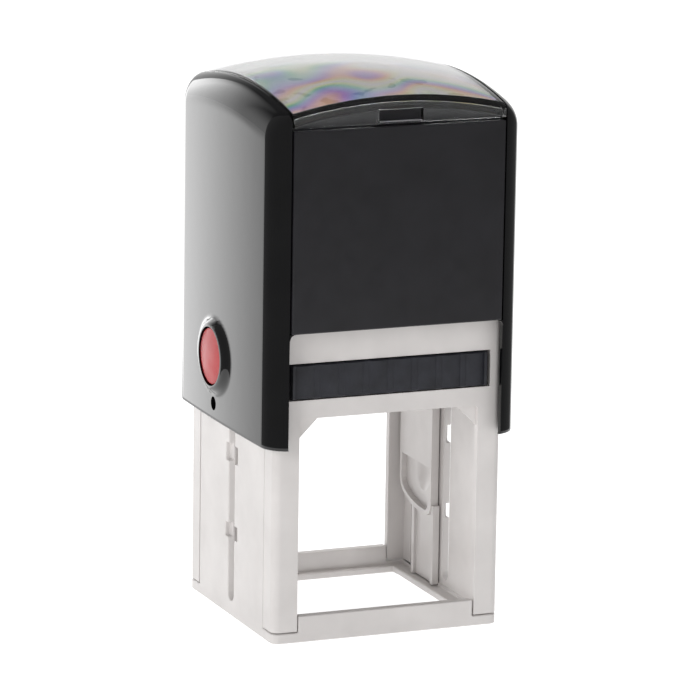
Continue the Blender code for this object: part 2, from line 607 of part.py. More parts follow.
def make_cap_shell(look):
    """Side walls with rounded corners and shoulders, joined by the deck under the card."""
    bm = bmesh.new()
    add_skin(bm, cap_rings())
    shell = finish("cap_shell", bm, look, smooth=True)

    def window_bay(bm):
        add_crowned_block(bm, BAY_X, CAP_Y + GAP, under_crown(DECK_DROP), at_height(FAR))
    boolean(shell, "cap_window_bay", window_bay)

    def hollow(bm):
        outline = rounded_rectangle(CAP_INNER_X, CAP_INNER_Y, CAP_INNER_CORNER)
        bottom = [(x, y, CAP_BOTTOM - GAP) for x, y in outline]
        top = [(x, y, crown(x, y) - DECK_BOTTOM_DROP) for x, y in outline]
        add_skin(bm, [bottom, top, *crowned_rings(outline, DECK_BOTTOM_DROP)])
    boolean(shell, "cap_hollow", hollow)
    edge_y = CAP_INNER_Y - GAP
    boolean(shell, "cap_bays", boxes(
        *both_sides((-BAY_X, edge_y, -GAP), (BAY_X, CAP_Y + GAP, FAR), 1)))

    def cut_out_corners(bm):
        """Fillets between the corner strips and the panels' lower edges."""
        for side in (1, -1):
            reach = (side * CUT_OUT_CORNER, CUT_OUT_CORNER)
            edge, top = side * BAY_X, PANEL_BOTTOM - GAP
            curve = arc((edge - reach[0], top - reach[1]), reach, 0, 90)
            outline = [*curve, (edge + side * GAP, top), (edge + side * GAP, top - reach[1])]
            for start, end in ((-CAP_Y, -CAP_INNER_Y), (CAP_INNER_Y, CAP_Y)):
                add_prism(bm, outline, start, end, "Y")
    boolean(shell, "cap_cut_out_corners", cut_out_corners, "UNION")

    def spigot(bm):
        bottom = CROWN_HEIGHT - DECK_BOTTOM_DROP - SPIGOT_HEIGHT
        add_cylinder(bm, (0, 0, bottom), (0, 0, CROWN_HEIGHT - DECK_DROP - DECK_THICKNESS / 2),
                     SPIGOT_RADIUS, ROUND_SIDES)
    boolean(shell, "cap_spigot", spigot, "UNION")

    def collars(bm):
        """Sloping collar round each button, from an oval foot to a round rim."""
        rim = BUTTON_RADIUS + GAP + COLLAR_RIM
        foot = (COLLAR_LENGTH / 2, COLLAR_HEIGHT / 2)
        for side in (1, -1):
            rings = []
            for x, reach in ((CAP_X - GAP, foot), (CAP_X, foot), (CAP_X + COLLAR_RISE, (rim, rim))):
                circle = arc((BUTTON_Y, BUTTON_Z), reach, 0, 360)[:-1]
                rings.append([(side * x, y, z) for y, z in circle])
            add_skin(bm, rings)
    boolean(shell, "cap_collars", collars, "UNION")

    def wells(bm):
        for side in (1, -1):
            add_cylinder(bm, (side * WELL_FLOOR, BUTTON_Y, BUTTON_Z), (side * FAR, BUTTON_Y, BUTTON_Z),
                         BUTTON_RADIUS + GAP, ROUND_SIDES)
    boolean(shell, "cap_wells", wells)

    def holes(bm):
        add_cylinder(bm, (-FAR, BUTTON_Y, BUTTON_Z), (FAR, BUTTON_Y, BUTTON_Z), STEM_RADIUS + GAP)
        add_cylinder(bm, (-FAR, SIGHT_HOLE_Y, SIGHT_HOLE_Z), (FAR, SIGHT_HOLE_Y, SIGHT_HOLE_Z),
                     SIGHT_HOLE_RADIUS)
    boolean(shell, "cap_side_holes", holes)

    def bearings(bm):
        """Blind bores for the carrier's pins, open to the inside."""
        reach = (CAP_INNER_X + CAP_X) / 2 + GAP
        add_cylinder(bm, (-reach, 0, AXLE_HEIGHT), (reach, 0, AXLE_HEIGHT), AXLE_RADIUS + GAP)
    return boolean(shell, "cap_bearings", bearings)


def make_panel(name, facing, look):
    """Flat panel between two corner strips, with tongues behind them and a hollow back."""
    outer = facing * CAP_Y
    back = facing * (CAP_Y - PANEL_DEPTH)
    half = BAY_X - GAP
    tongue_face = facing * (CAP_INNER_Y - GAP)
    tongue_half = CAP_INNER_X - TONGUE_SETBACK

    def span(x, first, second, low, high):
        return (-x, min(first, second), low), (x, max(first, second), high)

    bm = bmesh.new()
    add_box(bm, *span(half, outer, back, PANEL_BOTTOM, PANEL_TOP))
    panel = finish(name, bm, look)
    tongue_back = tongue_face - facing * PANEL_TONGUE_THICKNESS
    deck_low = crown(tongue_half, CAP_INNER_Y) - DECK_BOTTOM_DROP - GAP
    boolean(panel, name + "_tongue", boxes(
        span(tongue_half, tongue_face, tongue_back, PANEL_BOTTOM + PANEL_RIM, deck_low - PANEL_RIM)),
        "UNION")
    skin_back = facing * (CAP_Y - PANEL_SKIN)
    boolean(panel, name + "_hollow", boxes(
        span(half - PANEL_RIM, skin_back, back - facing * FAR,
             PANEL_BOTTOM + PANEL_RIM, deck_low - PANEL_RIM)))
    return boolean(panel, name + "_deck_step", boxes(
        span(FAR, facing * (CAP_INNER_Y - GAP / 2), facing * 0, deck_low, FAR)))


def make_window(look):
    """Clear domed cover with a lip down its front and rear, and a finger slot in the front lip."""
    half = BAY_X - GAP
    bm = bmesh.new()
    add_crowned_block(bm, half, CAP_Y, at_height(LIP_BOTTOM),
                      lambda x, y: crown(x, y) - edge_fall(y), EDGE_WIDTH)
    window = finish("top_window", bm, look, smooth=True)

    def inside(bm):
        add_crowned_block(bm, half + GAP, CAP_INNER_Y, at_height(LIP_BOTTOM - WINDOW_WALL),
                          under_crown(WINDOW_WALL))
    boolean(window, "window_inside", inside)
    slot = FINGER_SLOT_WIDTH / 2
    return boolean(window, "window_finger_slot", boxes(
        ((-slot, -FAR, LIP_BOTTOM - GAP), (slot, -CAP_INNER_Y + GAP, LIP_BOTTOM + FINGER_SLOT_HEIGHT))))


def make_card(look):
    bm = bmesh.new()
    add_crowned_block(bm, BAY_X - CARD_MARGIN, CAP_INNER_Y - CARD_SETBACK,
                      under_crown(CARD_DROP + CARD_THICKNESS), under_crown(CARD_DROP))
    return finish("index_card", bm, look)


# ---- plate carrier ----------------------------------------------------------------------------
def make_carrier(look):
    """Plate with an ear at each end for its axle pin, and short cam pegs."""
    bm = bmesh.new()
    add_box(bm, (-CARRIER_HALF, -CARRIER_HALF, CARRIER_BOTTOM), (CARRIER_HALF, CARRIER_HALF, CARRIER_TOP))
    carrier = finish("plate_carrier", bm, look)

    def ears(bm):
        top = (CARRIER_BOTTOM + CARRIER_TOP) / 2
        round_end = arc((0, AXLE_HEIGHT), (EAR_RADIUS, EAR_RADIUS), 180, 360)
        outline = [*round_end, (EAR_RADIUS, top), (-EAR_RADIUS, top)]
        for side in (1, -1):
            add_prism(bm, outline, side * (CARRIER_HALF - EAR_WIDTH), side * CARRIER_HALF, "X")
    boolean(carrier, "carrier_ears", ears, "UNION")

    def bores(bm):
        for side in (1, -1):
            inner = side * (CARRIER_HALF - EAR_WIDTH - GAP)
            add_cylinder(bm, (inner, 0, AXLE_HEIGHT), (side * FAR, 0, AXLE_HEIGHT), AXLE_RADIUS + GAP)
    boolean(carrier, "carrier_bores", bores)

    def pegs(bm):
        height = CARRIER_TOP - CAM_PEG_RADIUS
        for side in (1, -1):
            add_cylinder(bm, (side * (CARRIER_HALF - EAR_WIDTH), CAM_PEG_OFFSET, height),
                         (side * (CARRIER_HALF + CAM_PEG_LENGTH), CAM_PEG_OFFSET, height),
                         CAM_PEG_RADIUS, SMALL_SIDES)
    return boolean(carrier, "carrier_cam_pegs", pegs, "UNION")


def make_axle_pin(name, side, look):
    """Pin through a carrier ear and the cheek slot, into the cap's bearing."""
    inner = CARRIER_HALF - EAR_WIDTH
    outer = (CAP_INNER_X + CAP_X) / 2
    bm = bmesh.new()
    add_cylinder(bm, (side * inner, 0, AXLE_HEIGHT), (side * outer, 0, AXLE_HEIGHT), AXLE_RADIUS)
    return finish(name, bm, look, smooth=True)


def make_cushion(look):
    bm = bmesh.new()
    add_box(bm, (-PLATE_HALF, -PLATE_HALF, CUSHION_TOP - CUSHION_THICKNESS),
            (PLATE_HALF, PLATE_HALF, CUSHION_TOP))
    return finish("die_cushion", bm, look)


def make_text_plate(look):
    """Rubber plate with a raised border and plain bars in place of a customer's design."""
    base_top = RUBBER_BOTTOM + RUBBER_BASE
    bm = bmesh.new()
    add_box(bm, (-PLATE_HALF, -PLATE_HALF, RUBBER_BOTTOM), (PLATE_HALF, PLATE_HALF, FACE_HEIGHT))
    plate = finish("text_plate", bm, look)
    inside = PLATE_HALF - BORDER_WIDTH
    boolean(plate, "plate_field", boxes(
        ((-inside, -inside, base_top), (inside, inside, FACE_HEIGHT + GAP))))
    reach = PLATE_HALF - LINE_MARGIN
    first = -LINE_PITCH * (LINE_COUNT - 1) / 2
    lines = [((-reach, first + n * LINE_PITCH - LINE_WIDTH / 2, base_top - RUBBER_BASE / 2),
              (reach, first + n * LINE_PITCH + LINE_WIDTH / 2, FACE_HEIGHT)) for n in range(LINE_COUNT)]
    return boolean(plate, "plate_lines", boxes(*lines), "UNION")


# ---- buttons ----------------------------------------------------------------------------------
def make_button(name, side, look):
    """Round button with a crowned face and a stem through the cap wall."""
    face = CAP_X + BUTTON_PROUD
    profile = [(CAP_INNER_X, STEM_RADIUS), (BUTTON_UNDER, STEM_RADIUS), (BUTTON_UNDER, BUTTON_RADIUS)]
    profile += [(face - BUTTON_CROWN * share ** 2, BUTTON_RADIUS * share) for share in BUTTON_SHARES]
    angles = [2 * math.pi * n / ROUND_SIDES for n in range(ROUND_SIDES)]
    rings = []
    for x, radius in profile:
        rings.append([(side * x, BUTTON_Y + radius * math.cos(a), BUTTON_Z + radius * math.sin(a))
                      for a in angles])
    bm = bmesh.new()
    add_skin(bm, rings)
    return finish(name, bm, look, smooth=True)


# ---- springs ----------------------------------------------------------------------------------
def make_coil(name, radius, wire, turns, place, look):
    """Round wire along a helix. place turns (across, across, along share) into a point."""
    steps = int(turns * COIL_STEPS)
    curve = bpy.data.curves.new(name, "CURVE")
    curve.dimensions = "3D"
    curve.bevel_depth = wire / 2
    curve.bevel_resolution = 1
    curve.use_fill_caps = True
    spline = curve.splines.new("POLY")
    spline.points.add(steps)
    for n, point in enumerate(spline.points):
        share = n / steps
        angle = 2 * math.pi * turns * share
        point.co = (*place(radius * math.cos(angle), radius * math.sin(angle), share), 1.0)
    coil = bpy.data.objects.new(name, curve)
    bpy.context.scene.collection.objects.link(coil)
    curve.materials.append(look)
    return coil


def make_return_spring(look):
    low = TOP_PLATE_TOP + GAP + RETURN_WIRE / 2
    reach = RETURN_RADIUS + RETURN_WIRE / 2
    high = crown(reach, reach) - DECK_BOTTOM_DROP - GAP - RETURN_WIRE / 2
    return make_coil("return_spring", RETURN_RADIUS, RETURN_WIRE, RETURN_TURNS,
                     lambda a, b, share: (a, b, low + (high - low) * share), look)


def make_button_spring(name, side, look):
    low = WELL_FLOOR + GAP + BUTTON_WIRE / 2
    high = BUTTON_UNDER - GAP - BUTTON_WIRE / 2
    return make_coil(name, BUTTON_COIL_RADIUS, BUTTON_WIRE, BUTTON_TURNS,
                     lambda a, b, share: (side * (low + (high - low) * share), BUTTON_Y + a, BUTTON_Z + b),
                     look)


# ---- assembly ---------------------------------------------------------------------------------
def clear_scene():
    for thing in list(bpy.data.objects):
        bpy.data.objects.remove(thing, do_unlink=True)


def build():
    clear_scene()
    grey = material("grey_plastic", (0.60, 0.59, 0.58), 0.45)
    gloss_black = material("gloss_black_plastic", (0.012, 0.012, 0.013), 0.12)
    satin_black = material("satin_black_plastic", (0.022, 0.022, 0.024), 0.42)
    charcoal = material("charcoal_plastic", (0.020, 0.021, 0.026), 0.38)
    red = material("red_plastic", (0.62, 0.035, 0.035), 0.22)
    clear = material("clear_plastic", (0.92, 0.93, 0.94), 0.05, alpha=0.35, transmission=0.9)
    card = material("card", (0.86, 0.85, 0.86), 0.6)
    foam = material("inked_foam", (0.02, 0.02, 0.03), 0.8)
    white_foam = material("adhesive_foam", (0.75, 0.75, 0.72), 0.9)
    rubber = material("red_rubber", (0.38, 0.05, 0.04), 0.6)
    steel = material("spring_steel", (0.55, 0.55, 0.56), 0.3, metallic=1.0)

    make_base_frame(grey)
    make_upper_frame(grey)
    make_cassette(charcoal)
    make_pad(foam)
    make_cap_shell(gloss_black)
    make_panel("front_panel", -1, satin_black)
    make_panel("rear_panel", 1, satin_black)
    make_window(clear)
    make_card(card)
    make_carrier(grey)
    make_cushion(white_foam)
    make_text_plate(rubber)
    make_return_spring(steel)
    for word, side in (("left", -1), ("right", 1)):
        make_flip_guide("flip_guide_" + word, side, grey)
        make_axle_pin("axle_pin_" + word, side, grey)
        make_button("lock_button_" + word, side, red)
        make_button_spring("button_spring_" + word, side, steel)


build()
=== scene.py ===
"""Looks of the self inking stamp: fine meshes and mouldings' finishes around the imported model.

Metres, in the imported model's own frame: +Z up the press stroke, -Y to the front.
"""

import math

import bmesh
import bpy
from mathutils import Matrix, Vector


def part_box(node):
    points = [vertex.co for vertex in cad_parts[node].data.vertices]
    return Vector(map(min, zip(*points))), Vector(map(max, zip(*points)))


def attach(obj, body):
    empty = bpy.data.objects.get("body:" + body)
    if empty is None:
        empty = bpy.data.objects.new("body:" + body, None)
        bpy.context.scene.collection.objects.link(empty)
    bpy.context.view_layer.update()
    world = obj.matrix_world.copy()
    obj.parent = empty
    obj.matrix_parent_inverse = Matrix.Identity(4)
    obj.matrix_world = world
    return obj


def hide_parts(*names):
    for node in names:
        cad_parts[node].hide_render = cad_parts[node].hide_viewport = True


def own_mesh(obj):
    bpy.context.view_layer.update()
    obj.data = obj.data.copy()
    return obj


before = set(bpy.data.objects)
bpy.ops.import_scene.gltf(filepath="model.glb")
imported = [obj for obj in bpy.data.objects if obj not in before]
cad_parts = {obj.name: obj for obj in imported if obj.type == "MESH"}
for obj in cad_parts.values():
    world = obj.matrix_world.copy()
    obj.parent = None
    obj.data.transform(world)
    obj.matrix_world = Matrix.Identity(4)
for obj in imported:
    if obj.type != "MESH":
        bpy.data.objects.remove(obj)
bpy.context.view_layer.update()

MM = 0.001

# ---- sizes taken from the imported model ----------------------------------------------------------
SHELL_LOW, SHELL_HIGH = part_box("cap_shell")
WINDOW_LOW, WINDOW_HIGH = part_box("top_window")
CARD_LOW, CARD_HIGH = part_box("index_card")
FRAME_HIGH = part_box("upper_frame")[1]
GRIP_LOW, GRIP_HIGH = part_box("ink_cassette")
SPRING_LOW, SPRING_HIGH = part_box("return_spring")
BUTTON_LOW, BUTTON_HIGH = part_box("lock_button_right")
COIL_LOW, COIL_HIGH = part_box("button_spring_right")
PAD_LOW, PAD_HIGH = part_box("ink_pad")
PANEL_LOW, PANEL_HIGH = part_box("front_panel")

FRAME_X, FRAME_Y = FRAME_HIGH.x, FRAME_HIGH.y
CAP_X = CAP_Y = WINDOW_HIGH.y
CAP_BOTTOM = SHELL_LOW.z
CROWN_TOP = WINDOW_HIGH.z
LIP_BOTTOM = WINDOW_LOW.z
WINDOW_X = WINDOW_HIGH.x
GAP = 0.3 * MM
BAY_X = WINDOW_X + GAP
BUTTON_Y = (BUTTON_LOW.y + BUTTON_HIGH.y) / 2
BUTTON_Z = (BUTTON_LOW.z + BUTTON_HIGH.z) / 2
BUTTON_RADIUS = (BUTTON_HIGH.y - BUTTON_LOW.y) / 2

# ---- sizes of the cap's fine surface --------------------------------------------------------------
CROWN_FALL_X = 3.2 * MM       # of the domed roof, over the frame's side
CROWN_FALL_Y = 2.6 * MM
CORNER = 5.5 * MM             # radius of the cap's upright corners
SHOULDER_WIDTH = 4.0 * MM
SHOULDER_RISE = 5.5 * MM
EDGE_WIDTH = 1.6 * MM         # rounded front and rear edges of the roof
SIDE_WALL = 2.2 * MM
FRONT_WALL = 1.5 * MM
SIDE_BULGE = 0.35 * MM        # of the cap's side faces between their corners
DECK_DROP = 2.9 * MM
DECK_THICKNESS = 1.4 * MM
WINDOW_WALL = 1.5 * MM
EASE = 0.25 * MM              # rounding of the mouldings' edges
COLLAR_LENGTH = 19.2 * MM     # foot of the sloping oval collar round each button
COLLAR_HEIGHT = 16.2 * MM
COLLAR_RIM = 0.6 * MM
COLLAR_RISE = SHELL_HIGH.x - CAP_X
COLLAR_SOFTNESS = 0.6         # 0 is a straight cone, 1 runs level into the wall and the rim
WELL_DEPTH = 1.6 * MM
WELL_REACH = 20 * MM          # of the cutter that makes the well, out past the wall
SIGHT_HOLE_RADIUS = 1.45 * MM
SIGHT_HOLE_Y = 3.7 * MM
SIGHT_HOLE_RISE = 3.5 * MM
DECK_SETBACK = 0.9 * MM       # of the deck's ends from the window's lips
CUT_OUT_CORNER = 1.2 * MM     # fillets under the panels' lower corners
FILLET_SINK = 0.1 * MM        # of the fillets into what they join
WEB_SETBACK = 0.1 * MM        # of the front panel's web behind the lip's inner face
WEB_MARGIN = 0.6 * MM
WEB_THICKNESS = 0.6 * MM
WEB_SINK = 0.4 * MM           # of the web into the panel's top
SLOT_HALF = 4.8 * MM          # of the window's finger slot, across
SLOT_START, SLOT_END = 0.35 * MM, 2.9 * MM    # up from the lip's lower edge
WINDOW_EASE = 0.12 * MM
CARD_THICKNESS = 0.5 * MM

# ---- sizes of the small pieces ----------------------------------------------------------------------
BUTTON_HEAD = 1.2 * MM
BUTTON_STEM = 2.3 * MM
BUTTON_EDGE = 0.25 * MM
BUTTON_DOME = 0.3 * MM
GRIP_RIBS = 8
RIB_CREST = 1.0 * MM
RIB_PROUD = 0.2 * MM          # of the ribs in front of the cassette
RIB_MARGIN = 0.3 * MM         # of the ribs from the grip's height
RIB_SHARE = 0.48              # half a rib's width, of the pitch
RETURN_WIRE = 1.0 * MM
RETURN_TURNS = 8.0
BUTTON_WIRE = 0.3 * MM
BUTTON_COIL = 3.4 * MM
BUTTON_TURNS = 2.5
PAD_EASE = 0.12 * MM

# ---- fineness -----------------------------------------------------------------------------------
WALL_ROWS = 120
WALL_COLUMNS = 96
ROUND_STEPS = 16              # points round a quarter turn
DECK_ROWS = 24
DOME_STEPS = 60
ROUND_TURNS = 96              # points round a button and its well


# ---- camera -------------------------------------------------------------------------------------
def make_camera():
    """Long lens from the front left and a little above."""
    azimuth, elevation, roll = (math.radians(angle) for angle in (-22.48, 12.37, 0.89))
    target = Vector((0, 0, 60 * MM))
    distance = 1.0438
    back = Vector((math.sin(azimuth) * math.cos(elevation), -math.cos(azimuth) * math.cos(elevation),
                   math.sin(elevation)))
    lens = bpy.data.cameras.new("camera")
    lens.lens = 257.1
    lens.sensor_width = 36
    lens.shift_x = 0.0059
    lens.shift_y = -0.0323
    lens.clip_start = 0.01
    lens.clip_end = 50
    camera = bpy.data.objects.new("camera", lens)
    bpy.context.scene.collection.objects.link(camera)
    camera.location = target + back * distance
    turn = (-back).to_track_quat("-Z", "Y").to_matrix().to_4x4() @ Matrix.Rotation(roll, 4, "Z")
    camera.rotation_euler = turn.to_euler()
    bpy.context.scene.camera = camera


# ---- materials --------------------------------------------------------------------------------
def linear(colour):
    """Linear colour with alpha from an sRGB hex value."""
    values = [int(colour[n:n + 2], 16) / 255 for n in (1, 3, 5)]
    return (*(v / 12.92 if v <= 0.04045 else ((v + 0.055) / 1.055) ** 2.4 for v in values), 1.0)


def add(tree, kind, settings=(), **sockets):
    """Add a node. settings are its properties; sockets get a value or a link from another node's output."""
    node = tree.nodes.new(kind)
    for name, value in dict(settings).items():
        setattr(node, name, value)
    for name, value in sockets.items():
        wanted = name.replace("_", " ")
        socket = next(s for s in node.inputs if s.identifier == name or s.name == wanted)
        if isinstance(value, bpy.types.NodeSocket):
            tree.links.new(value, socket)
        else:
            socket.default_value = value
    return node


def begin(name):
    """A new material with its shader, and Object coordinates in millimetres."""
    made = bpy.data.materials.new(name)
    made.use_nodes = True
    tree = made.node_tree
    shader = tree.nodes["Principled BSDF"]
    place = add(tree, "ShaderNodeTexCoord")
    in_mm = add(tree, "ShaderNodeMapping", Vector=place.outputs["Object"], Scale=(1000, 1000, 1000))
    return made, tree, shader, in_mm.outputs["Vector"]


def noise(tree, where, size, detail=2.0, roughness=0.5):
    """Noise whose blots are about size millimetres across."""
    return add(tree, "ShaderNodeTexNoise", Vector=where, Scale=1 / size, Detail=detail,
               Roughness=roughness).outputs["Fac"]


def spread(tree, value, low, high, start=0.3, end=0.7):
    """The value, moved from its range start to end into the range low to high."""
    return add(tree, "ShaderNodeMapRange", Value=value, From_Min=start, From_Max=end, To_Min=low,
               To_Max=high).outputs["Result"]


def blend_colours(tree, share, first, second):
    """A colour between two others, by share."""
    mix = add(tree, "ShaderNodeMix", {"data_type": "RGBA"}, Factor_Float=share, A_Color=first,
              B_Color=second)
    return next(socket for socket in mix.outputs if socket.identifier == "Result_Color")


def moulded_plastic(name, dark, light, gloss, grain, grain_depth, ior=1.53, mottle=9.0):
    """A moulded thermoplastic: two close shades in broad flow marks, a fine eroded grain and varied gloss."""
    made, tree, shader, where = begin(name)
    flow = noise(tree, where, mottle, 3.0)
    tree.links.new(blend_colours(tree, spread(tree, flow, 0, 1), linear(dark), linear(light)),
                   shader.inputs["Base Color"])
    speck = noise(tree, where, grain, 2.0, 0.6)
    tree.links.new(spread(tree, noise(tree, where, mottle / 3, 4.0), gloss[0], gloss[1]),
                   shader.inputs["Roughness"])
    bump = add(tree, "ShaderNodeBump", Height=speck, Distance=grain_depth * MM, Strength=1.0)
    tree.links.new(bump.outputs["Normal"], shader.inputs["Normal"])
    shader.inputs["IOR"].default_value = ior
    return made


def grey_abs():
    """Light warm grey ABS from an eroded mould: an even satin that goes a little glossier on flats."""
    return moulded_plastic("satin_grey_abs", "#cac6c4", "#d3cfcd", (0.34, 0.46), 0.35, 0.004)


def polished_black_abs():
    """Black ABS from a polished mould: mirror gloss with a trace of orange peel and fine handling haze."""
    return moulded_plastic("polished_black_abs", "#060607", "#0a0a0b", (0.03, 0.07), 5.0, 0.006)


def satin_black_abs():
    """Black ABS from a finely eroded mould: a dull sheen with no clear reflection."""
    return moulded_plastic("satin_black_abs", "#17161a", "#1c1b20", (0.38, 0.5), 0.25, 0.006)


def charcoal_pp():
    """Charcoal polypropylene: softer and bluer than the panels, with a coarse speckled grain."""
    return moulded_plastic("eroded_charcoal_pp", "#1d1e24", "#282931", (0.36, 0.55), 0.45, 0.02, 1.49, 4.0)


def red_abs():
    """Signal red ABS, polished, a little translucent so that its shade stays warm."""
    made = moulded_plastic("polished_red_abs", "#a01318", "#b01b20", (0.32, 0.42), 3.0, 0.003)
    shader = made.node_tree.nodes["Principled BSDF"]
    shader.inputs["Specular IOR Level"].default_value = 0.25
    shader.inputs["Subsurface Weight"].default_value = 0.15
    shader.inputs["Subsurface Radius"].default_value = (1.2 * MM, 0.3 * MM, 0.2 * MM)
    shader.inputs["Subsurface Scale"].default_value = 1.0
    return made


def clear_acrylic():
    """Clear cast acrylic: polished, with a few very fine wiping marks."""
    made, tree, shader, where = begin("clear_acrylic")
    shader.inputs["Base Color"].default_value = linear("#f7f8f8")
    shader.inputs["IOR"].default_value = 1.49
    shader.inputs["Transmission Weight"].default_value = 1.0
    stretched = add(tree, "ShaderNodeMapping", Vector=where, Scale=(0.2, 4.0, 1.0), Rotation=(0, 0, 0.3))
    marks = noise(tree, stretched.outputs["Vector"], 1.0, 3.0)
    tree.links.new(spread(tree, marks, 0.02, 0.06), shader.inputs["Roughness"])
    return made


def painted_highlight_slot_edge():
    """Painted highlight for the finger slot's edges: a pale mottled grey that stands in for the bright lines
    of light they catch.
    """
    made, tree, shader, where = begin("sawn_acrylic_edge")
    tree.links.new(blend_colours(tree, noise(tree, where, 0.3), linear("#a9a8ac"), linear("#dcdbde")),
                   shader.inputs["Base Color"])
    shader.inputs["Roughness"].default_value = 0.4
    return made


def card_with_painted_sheen():
    """White card with a painted rainbow sheen in soft colour bands, standing in for the stress colours that
    light shows in the clear window over it: pastel rings and waves that gather near the front.
    """
    made, tree, shader, where = begin("film_faced_card")
    warp = add(tree, "ShaderNodeTexNoise", Vector=where, Scale=0.055, Detail=1.0, Roughness=0.4)
    parts = add(tree, "ShaderNodeSeparateXYZ", Vector=where)
    slope = add(tree, "ShaderNodeMath", {"operation": "MULTIPLY"}, Value=parts.outputs["Y"], Value_001=0.05)
    wave = add(tree, "ShaderNodeMath", {"operation": "MULTIPLY"}, Value=warp.outputs["Fac"], Value_001=3.2)
    phase = add(tree, "ShaderNodeMath", {"operation": "ADD"}, Value=slope.outputs[0],
                Value_001=wave.outputs[0])
    turn = add(tree, "ShaderNodeMath", {"operation": "FRACT"}, Value=phase.outputs[0])
    # Painted rainbow sheen: colour bands in place of the window's stress colours.
    bands = add(tree, "ShaderNodeValToRGB", Fac=turn.outputs[0])
    shades = ("#ddd8e0", "#ded7a6", "#e8ab82", "#ab72c6", "#7c91d2", "#4fb78e", "#cdd89a", "#ddd8e0")
    ramp = bands.color_ramp
    while len(ramp.elements) < len(shades):
        ramp.elements.new(0.5)
    for n, shade in enumerate(shades):
        ramp.elements[n].position = n / (len(shades) - 1)
        ramp.elements[n].color = linear(shade)
    patch = noise(tree, where, 16, 2.0)
    strength = spread(tree, patch, 0.35, 1.0, 0.35, 0.6)
    colour = blend_colours(tree, strength, linear("#f1ebf2"), bands.outputs["Color"])
    tree.links.new(colour, shader.inputs["Base Color"])
    tree.links.new(spread(tree, noise(tree, where, 6), 0.25, 0.4), shader.inputs["Roughness"])
    return made


def spring_steel():
    """Drawn spring wire: bright, with fine die lines."""
    made, tree, shader, where = begin("drawn_spring_steel")
    shader.inputs["Base Color"].default_value = linear("#b9b9bb")
    shader.inputs["Metallic"].default_value = 1.0
    tree.links.new(spread(tree, noise(tree, where, 0.4, 4.0), 0.22, 0.38), shader.inputs["Roughness"])
    return made


def inked_foam():
    """Open-cell foam soaked in black ink: dark, damp and pitted."""
    made, tree, shader, where = begin("ink_soaked_foam")
    cells = add(tree, "ShaderNodeTexVoronoi", Vector=where, Scale=2.2)
    tree.links.new(blend_colours(tree, cells.outputs["Distance"], linear("#0b0b12"), linear("#1c1c28")),
                   shader.inputs["Base Color"])
    tree.links.new(spread(tree, cells.outputs["Distance"], 0.35, 0.8, 0, 0.6), shader.inputs["Roughness"])
    bump = add(tree, "ShaderNodeBump", Height=cells.outputs["Distance"], Distance=0.2 * MM, Strength=0.8)
    tree.links.new(bump.outputs["Normal"], shader.inputs["Normal"])
    return made


def adhesive_foam():
    """White closed-cell foam tape."""
    return moulded_plastic("white_foam_tape", "#dcdad2", "#e6e4dc", (0.7, 0.9), 0.3, 0.03, 1.45, 5.0)


def engraved_rubber():
    """Laser-engraved rubber, brick red, with a dry burnt floor."""
    return moulded_plastic("engraved_red_rubber", "#7a2a22", "#8c342a", (0.55, 0.75), 0.3, 0.02, 1.5, 3.0)


# ---- mesh helpers -------------------------------------------------------------------------------
def make_object(name, mesh, look, smooth_angle=35):
    """A smooth shaded object in the scene, with one look."""
    thing = bpy.data.objects.new(name, mesh)
    bpy.context.scene.collection.objects.link(thing)
    mesh.materials.clear()
    mesh.materials.append(look)
    mesh.shade_smooth()
    mesh.set_sharp_from_angle(angle=math.radians(smooth_angle))
    return thing


def mesh_of(name, bm, outward=False):
    """A mesh from a bmesh. outward turns the faces out, for a shape that can come out reversed."""
    if outward:
        bmesh.ops.recalc_face_normals(bm, faces=bm.faces)
    mesh = bpy.data.meshes.new(name)
    bm.to_mesh(mesh)
    bm.free()
    return mesh


def settle(thing):
    """Replace an object's mesh with what its modifiers make of it."""
    graph = bpy.context.evaluated_depsgraph_get()
    graph.update()
    made = bpy.data.meshes.new_from_object(thing.evaluated_get(graph))
    thing.modifiers.clear()
    thing.data = made
    return thing


def place_piece(thing, body, slot, *nodes):
    """Ride a piece on its body, in place of the nodes it shows."""
    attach(thing, body)
    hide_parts(*nodes)
    return thing


def eased_node(node, body, slot, look, width=EASE, segments=3):
    """The node's own shape with its sharp edges rounded."""
    bm = bmesh.new()
    bm.from_mesh(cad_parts[node].data)
    bmesh.ops.remove_doubles(bm, verts=bm.verts, dist=2e-6)
    bmesh.ops.dissolve_limit(bm, angle_limit=math.radians(1), verts=bm.verts, edges=bm.edges)
    thing = make_object(node + "_fine", mesh_of(node + "_fine", bm), look)
    bevel = thing.modifiers.new("ease", "BEVEL")
    bevel.width = width
    bevel.segments = segments
    bevel.limit_method = "ANGLE"
    bevel.angle_limit = math.radians(40)
    bevel.miter_outer = "MITER_ARC"
    weigh = thing.modifiers.new("weigh", "WEIGHTED_NORMAL")
    weigh.keep_sharp = True
    return place_piece(settle(thing), body, slot, node)


def cut(thing, tool_bm):
    """Cut a hidden shape out of an object."""
    tool = bpy.data.objects.new("tool", mesh_of("tool", tool_bm, True))
    bpy.context.scene.collection.objects.link(tool)
    modifier = thing.modifiers.new("cut", "BOOLEAN")
    modifier.operation = "DIFFERENCE"
    modifier.object = tool
    settle(thing)
    bpy.data.objects.remove(tool)
    return thing


